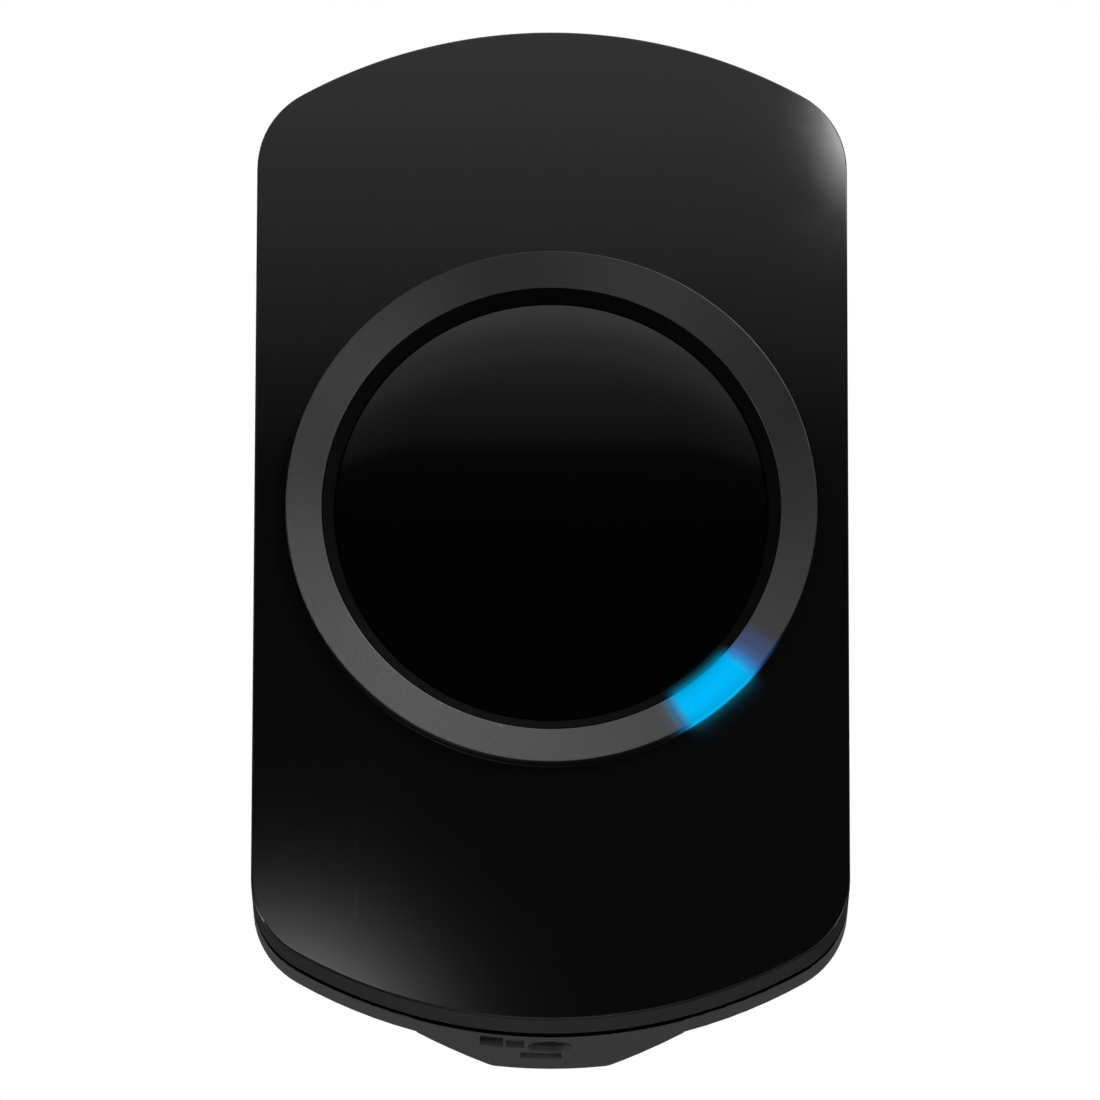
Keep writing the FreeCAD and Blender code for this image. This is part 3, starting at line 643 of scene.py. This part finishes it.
def between(tree, angle, rise, fall, smooth=False):
    """1 between two angles, with a soft start and end."""
    start = ranged(tree, angle, *rise, smooth=smooth)
    end = ranged(tree, angle, *fall, 1.0, 0.0, smooth=smooth)
    return maths(tree, "MULTIPLY", start, end)


def lamp_colour(tree, radius, angle):
    share = ranged(tree, angle, LAMP_FROM, LAMP_TO)
    along = ramp(tree, share, [(lamp_share(turn), colour) for turn, colour in LAMP_STOPS])
    return blended(tree, 1.0, along, by_radius(tree, radius, LAMP_ACROSS), "MULTIPLY")


def lamp_spill(tree, radius, angle, stops):
    """Light that the lit segment spreads over its neighbours, as (radius, strength) stops."""
    along = between(tree, angle, SPILL_RISE, SPILL_FALL, smooth=True)
    glow = blended(tree, 1.0, by_radius(tree, radius, stops), SPILL_BLUE, "MULTIPLY")
    return blended(tree, along, grey(0.0), glow)


def gloss_plate():
    """The front plate's polished black, with a little dust and faint hairlines."""
    material, tree, shader, where = new_material("gloss_black")
    surface = place_group(tree, "grain", Vector=where, Scale=900.0, Dark=(0.0062, 0.0062, 0.0064, 1),
                          Light=(0.0078, 0.0078, 0.008, 1), Low_Roughness=0.025, High_Roughness=0.04)
    marks = place_group(tree, "marks", Vector=where, Amount=0.5)
    dusty = blended(tree, maths(tree, "MULTIPLY", marks["Dust"], 0.015), surface["Colour"], grey(0.5))
    tree.links.new(dusty, shader.inputs["Base Color"])
    rough = maths(tree, "MULTIPLY_ADD", marks["Smudges"], 0.02, surface["Roughness"])
    rough = maths(tree, "MULTIPLY_ADD", marks["Scratches"], 0.05, rough)
    tree.links.new(rough, shader.inputs["Roughness"])
    shader.inputs["IOR"].default_value = 1.5
    bump(tree, shader, surface["Height"], 0.01, 0.00001)
    radius, angle = ring_place(tree, where)
    tree.links.new(lamp_spill(tree, radius, angle, PLATE_SPILL), shader.inputs["Emission Color"])
    shader.inputs["Emission Strength"].default_value = 1.0
    return material


def window_glass():
    """The push window's dark glass."""
    material, tree, shader, where = new_material("window_black")
    surface = place_group(tree, "grain", Vector=where, Scale=900.0, Dark=(0.0017, 0.0017, 0.0018, 1),
                          Light=(0.0021, 0.0021, 0.0022, 1), Low_Roughness=0.012, High_Roughness=0.024)
    marks = place_group(tree, "marks", Vector=where, Amount=0.5)
    dusty = blended(tree, maths(tree, "MULTIPLY", marks["Dust"], 0.015), surface["Colour"], grey(0.5))
    tree.links.new(dusty, shader.inputs["Base Color"])
    rough = maths(tree, "MULTIPLY_ADD", marks["Smudges"], 0.012, surface["Roughness"])
    tree.links.new(rough, shader.inputs["Roughness"])
    shader.inputs["IOR"].default_value = 1.85
    bump(tree, shader, marks["Scratches"], 0.01, 0.00001)
    return material


def funnel_glow():
    """Adds the lit segment's blue spill to the funnel's matt black."""
    tree = FINISHES["bezel_black"].node_tree
    shader = tree.nodes["Principled BSDF"]
    where = tree.nodes.new("ShaderNodeTexCoord").outputs["Object"]
    radius, angle = ring_place(tree, where)
    tree.links.new(lamp_spill(tree, radius, angle, FUNNEL_SPILL), shader.inputs["Emission Color"])
    shader.inputs["Emission Strength"].default_value = 1.0


def ring_satin():
    """The ring's satin grey, with the blue segment that one lamp lights from behind."""
    material, tree, shader, where = new_material("ring_grey")
    surface = place_group(tree, "grain", Vector=where, Scale=3000.0, Dark=grey(0.016), Light=grey(0.021),
                          Low_Roughness=0.27, High_Roughness=0.35)
    marks = place_group(tree, "marks", Vector=where, Amount=0.5)
    radius, angle = ring_place(tree, where)
    lit = between(tree, angle, LIT_RISE, LIT_FALL)
    base = blended(tree, marks["Dust"], surface["Colour"], grey(0.16))
    tree.links.new(blended(tree, lit, base, grey(0.0)), shader.inputs["Base Color"])
    tree.links.new(lit, shader.inputs["Metallic"])
    tree.links.new(surface["Roughness"], shader.inputs["Roughness"])
    bump(tree, shader, surface["Height"], 0.35, 0.00003)
    tree.links.new(lamp_colour(tree, radius, angle), shader.inputs["Emission Color"])
    shader.inputs["Emission Strength"].default_value = 1.0
    return material


RIM_REACH = 0.05 * MM       # how far the painted shade goes past the seal's back


def paint_rim_shade():
    """Paints the housing's front rim black: painted shade for the rim that lies deep in the groove."""
    tree = FINISHES["housing_grey"].node_tree
    shader = tree.nodes["Principled BSDF"]
    where = tree.nodes.new("ShaderNodeTexCoord").outputs["Object"]
    depth = add(tree, "ShaderNodeSeparateXYZ", Vector=where).outputs["Y"]
    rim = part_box("housing_seal")[1][1] + RIM_REACH
    # Painted shade: in front of the seal's back the rim turns black and fully metallic, standing in for
    # the groove's shadow.
    groove_shade = maths(tree, "LESS_THAN", depth, rim)
    plain = shader.inputs["Base Color"].links[0].from_socket
    tree.links.new(blended(tree, groove_shade, plain, grey(0.0)), shader.inputs["Base Color"])
    tree.links.new(groove_shade, shader.inputs["Metallic"])


FINISHES["gloss_black"] = gloss_plate()
FINISHES["window_black"] = window_glass()
FINISHES["ring_grey"] = ring_satin()
funnel_glow()
paint_rim_shade()


# Pieces

def front_plate():
    """The gloss plate: rounded rim, step at the back, round hole for the ring."""
    bm = bmesh.new()
    border = outline_edges(bm, plate_inset, plate_skirt)
    bmesh.ops.edgeloop_fill(bm, edges=border)
    pull(bm, bm.faces[:][0], -plate_skirt, keep=True)
    round_rim(bm, flat_face(bm, 0), plate_round, 8)
    front = step_in(bm, flat_face(bm, 0), narrow_band)
    back = step_in(bm, flat_face(bm, plate_skirt), spigot_inset - plate_inset)
    back = pull(bm, back, plate_back - plate_skirt)
    bore(bm, front, back, ring_outer + fit_gap)
    return finish_piece("front_plate", bm, "case", "faceplate",
                        FINISHES["gloss_black"])


def ring_lens():
    """The raised ring that lights up: a cone that falls towards the button."""
    bm = bmesh.new()
    inner_top = ring_crest + (ring_outer - crest_inset - ring_inner) * ring_slope
    shoulder = ring_inner + shoulder_width
    turned(bm, [
        (ring_outer, ring_crest - crest_inset * ring_slope, 0.08),
        (ring_inner, inner_top, 0.05),
        (ring_inner, shoulder_depth, 0),
        (shoulder, shoulder_depth, 0),
        (shoulder, ring_back, 0),
        (ring_flange, ring_back, 0.1),
        (ring_flange, plate_back, 0.1),
        (ring_outer, plate_back, 0),
    ])
    return finish_piece("ring_lens", bm, "case", "light_ring", FINISHES["ring_grey"])


def button_funnel():
    """The black funnel between the ring and the window."""
    bm = bmesh.new()
    turned(bm, [
        (funnel_outer, funnel_lip, 0.06),
        (funnel_throat, funnel_throat_depth, 0.05),
        (funnel_throat, funnel_end, 0.05),
        (funnel_skirt, funnel_end, 0),
        (funnel_skirt, funnel_back, 0),
        (funnel_step, funnel_back, 0),
        (funnel_step, funnel_step_depth, 0),
        (funnel_outer, funnel_step_depth, 0),
    ])
    return finish_piece("button_funnel", bm, "case", "button_bezel",
                        FINISHES["bezel_black"])


def push_window():
    """The round window that is the push button, with a rim that falls away slightly."""
    bm = bmesh.new()
    rim = window_radius
    slope = []
    for index in range(1, FALL_STEPS + 1):
        radius = window_flat + (rim - window_edge - window_flat) * index / FALL_STEPS
        slope.append((radius, window_front + window_fall * (radius - window_flat) ** 3, 0))
    turned(bm, [
        (0, window_front, 0),
        (window_flat * 0.5, window_front, 0),
        (window_flat, window_front, 0),
        *slope,
        (rim, slope[-1][1] + window_edge, 0.03),
        (rim, window_back, 0.15),
        (0, window_back, 0),
    ], closed=False)
    return finish_piece("push_window", bm, "button", "button_disc",
                        FINISHES["window_black"])


front_plate()
ring_lens()
button_funnel()
push_window()

for subpart in frame["record"]["subparts"]:
    part = frame["nodes"][subpart["node"]]
    if subpart["material_slot"] in FINISHES:
        part.data.materials.clear()
        part.data.materials.append(FINISHES[subpart["material_slot"]])


# Floor, far below

FLOOR_Z, FLOOR_SIZE = -1.6, 5.0


def floor():
    """A plain pale floor."""
    bm = bmesh.new()
    bmesh.ops.create_grid(bm, x_segments=2, y_segments=2, size=FLOOR_SIZE,
                          matrix=Matrix.Translation((0.0, 0.0, FLOOR_Z)))
    mesh = bpy.data.meshes.new("floor")
    bm.to_mesh(mesh)
    bm.free()
    made = bpy.data.objects.new("floor", mesh)
    bpy.context.collection.objects.link(made)
    material, tree, shader, where = new_material("floor_pale")
    patches = noise(tree, where, 3.0, 3.0)
    tree.links.new(blended(tree, patches, grey(0.78), grey(0.84)), shader.inputs["Base Color"])
    shader.inputs["Roughness"].default_value = 0.9
    mesh.materials.append(material)


floor()


# Studio: a graded card that only the gloss sees, one soft light and an even surround

CARD_Y = -1.0218
CARD_LEFT, CARD_RIGHT, CARD_LOW, CARD_HIGH = -0.12, 1.25, 0.10, 0.62
CARD_FADE = (0.10, 0.22)    # where the graded part fades out to the right
CARD_STOPS = [
    (0.2880, 0.0), (0.3040, 0.01), (0.3059, 0.018), (0.3065, 0.03), (0.3079, 0.047),
    (0.3157, 0.085), (0.3235, 0.15), (0.3264, 0.19), (0.3352, 0.247), (0.3455, 0.365),
    (0.3547, 0.432), (0.3645, 0.506), (0.3704, 0.61), (0.3874, 0.726), (0.4300, 0.80),
]

ROUND_ACROSS, ROUND_UP, ROUND_SPREAD, ROUND_POWER = -0.0538, 0.1819, 0.0158, 7.6
STRIP_START, STRIP_FLANK = 0.0558, 0.00102
STRIP_UP, STRIP_RISE, STRIP_SPREAD = 0.3747, 0.14, 0.00892
STRIP_DIMMING = (0.002, 0.03, 25.4, 12.7)   # from and to past its start, strength there


def falling(tree, value, middle, width, power=2.0):
    """How far a light has faded at a distance from its middle."""
    offset = maths(tree, "ABSOLUTE", maths(tree, "DIVIDE", maths(tree, "SUBTRACT", value, middle), width))
    return maths(tree, "EXPONENT", maths(tree, "MULTIPLY", maths(tree, "POWER", offset, power), -0.5))


def round_light(tree, across, up):
    """The soft round light at the lower left of the card."""
    bell = maths(tree, "MULTIPLY", falling(tree, across, ROUND_ACROSS, ROUND_SPREAD),
                 falling(tree, up, ROUND_UP, ROUND_SPREAD))
    return maths(tree, "MULTIPLY", bell, ROUND_POWER)


def strip_light(tree, across, up):
    """The bright strip that runs from the card's middle to its right edge, and rises slightly."""
    flank = falling(tree, maths(tree, "MINIMUM", across, STRIP_START), STRIP_START, STRIP_FLANK, 1.0)
    beyond = maths(tree, "MAXIMUM", maths(tree, "SUBTRACT", across, STRIP_START), 0.0)
    middle = maths(tree, "MULTIPLY_ADD", maths(tree, "MULTIPLY", beyond, beyond), STRIP_RISE, STRIP_UP)
    height = falling(tree, maths(tree, "SUBTRACT", up, middle), 0.0, STRIP_SPREAD)
    bell = maths(tree, "MULTIPLY", flank, height)
    return maths(tree, "MULTIPLY", bell, ranged(tree, beyond, *STRIP_DIMMING))


def reflector_card():
    """A glowing card in front of the doorbell, unseen except in its gloss."""
    bm = bmesh.new()
    bmesh.ops.create_grid(
        bm, x_segments=1, y_segments=1, size=0.5,
        matrix=Matrix.Translation(((CARD_LEFT + CARD_RIGHT) / 2, CARD_Y, (CARD_LOW + CARD_HIGH) / 2))
        @ Matrix.Diagonal((CARD_RIGHT - CARD_LEFT, 1.0, CARD_HIGH - CARD_LOW, 1.0))
        @ Matrix.Rotation(math.pi / 2, 4, "X"),
    )
    mesh = bpy.data.meshes.new("reflector_card")
    bm.to_mesh(mesh)
    bm.free()
    card = bpy.data.objects.new("reflector_card", mesh)
    bpy.context.collection.objects.link(card)
    card.visible_camera = False
    card.visible_diffuse = False
    card.visible_shadow = False
    card.visible_transmission = False
    material = bpy.data.materials.new("card_light")
    material.use_nodes = True
    tree = material.node_tree
    tree.nodes.clear()
    where = tree.nodes.new("ShaderNodeTexCoord").outputs["Object"]
    parts = add(tree, "ShaderNodeSeparateXYZ", Vector=where).outputs
    low, high = CARD_STOPS[0][0], CARD_STOPS[-1][0]
    graded = ramp(tree, ranged(tree, parts["Z"], low, high),
                  [((place - low) / (high - low), (value,) * 3) for place, value in CARD_STOPS])
    strength = add(tree, "ShaderNodeRGBToBW", Color=graded).outputs[0]
    strength = maths(tree, "MULTIPLY", strength, ranged(tree, parts["X"], *CARD_FADE, 1.0, 0.0))
    strength = maths(tree, "ADD", strength, round_light(tree, parts["X"], parts["Z"]))
    strength = maths(tree, "ADD", strength, strip_light(tree, parts["X"], parts["Z"]))
    glow = add(tree, "ShaderNodeEmission", Color=(1, 1, 1, 1), Strength=strength)
    output = tree.nodes.new("ShaderNodeOutputMaterial")
    tree.links.new(glow.outputs[0], output.inputs["Surface"])
    mesh.materials.append(material)


reflector_card()


def soft_light(name, direction, distance, size, power):
    """An area light that points at the doorbell from a direction."""
    data = bpy.data.lights.new(name, "AREA")
    data.shape = "DISK"
    data.size = size
    data.energy = power
    light = bpy.data.objects.new(name, data)
    aim = Vector(direction).normalized()
    light.location = aim * distance
    light.rotation_euler = aim.to_track_quat("Z", "Y").to_euler()
    bpy.context.collection.objects.link(light)


soft_light("key_light", direction=(0.55, -0.60, 0.58), distance=1.6, size=0.6, power=5.0)


# Softboxes that only the gloss sees, as (azimuth to the right, elevation, brightness, spread)
SOFTBOXES = [
    (-33.0, -33.0, 1.44, 13.0),
    (45.0, -15.0, 7.04, 13.0),
    (62.0, 55.0, 12.97, 13.0),
    (-30.0, 60.0, 0.97, 13.0),
    (-45.0, 35.0, 1.98, 13.0),
    (-10.0, -8.5, 1.48, 6.0),
    (5.0, 52.0, 1.77, 13.0),
    (-74.0, -36.0, 60.0, 13.0),
    (-64.0, -54.0, 60.0, 13.0),
    (-45.0, -66.0, 30.0, 9.0),
]
ROOM_LEVEL = 0.012
AMBIENT_BELOW, AMBIENT_ABOVE = 0.95, 0.15


def gloss_room(tree, where):
    """The room that the gloss sees: dim, with soft bright patches in a few directions."""
    total = ROOM_LEVEL
    for azimuth, elevation, brightness, spread in SOFTBOXES:
        side, rise = math.radians(azimuth), math.radians(elevation)
        aim = (math.sin(side) * math.cos(rise), -math.cos(side) * math.cos(rise), math.sin(rise))
        facing = add(tree, "ShaderNodeVectorMath", {"operation": "DOT_PRODUCT"}, in0=where, in1=aim)
        away = maths(tree, "SUBTRACT", facing.outputs["Value"], 1.0)
        bell = maths(tree, "EXPONENT", maths(tree, "DIVIDE", away, math.radians(spread) ** 2))
        total = maths(tree, "MULTIPLY_ADD", bell, brightness, total)
    return total


def surround():
    """White behind the object, a dim room in the gloss, and soft light from below."""
    world = bpy.data.worlds.new("Studio")
    bpy.context.scene.world = world
    world.use_nodes = True
    tree = world.node_tree
    tree.nodes.clear()
    path = tree.nodes.new("ShaderNodeLightPath").outputs
    where = tree.nodes.new("ShaderNodeTexCoord").outputs["Generated"]
    up = add(tree, "ShaderNodeSeparateXYZ", Vector=where).outputs["Z"]
    ambient = ranged(tree, up, -0.6, 0.6, AMBIENT_BELOW, AMBIENT_ABOVE)
    gloss = gloss_room(tree, where)
    seen = blended(tree, path["Is Glossy Ray"], ambient, gloss)
    final = blended(tree, path["Is Camera Ray"], seen, grey(1.0))
    background = add(tree, "ShaderNodeBackground", Color=final, Strength=1.0)
    output = tree.nodes.new("ShaderNodeOutputWorld")
    tree.links.new(background.outputs[0], output.inputs["Surface"])


surround()
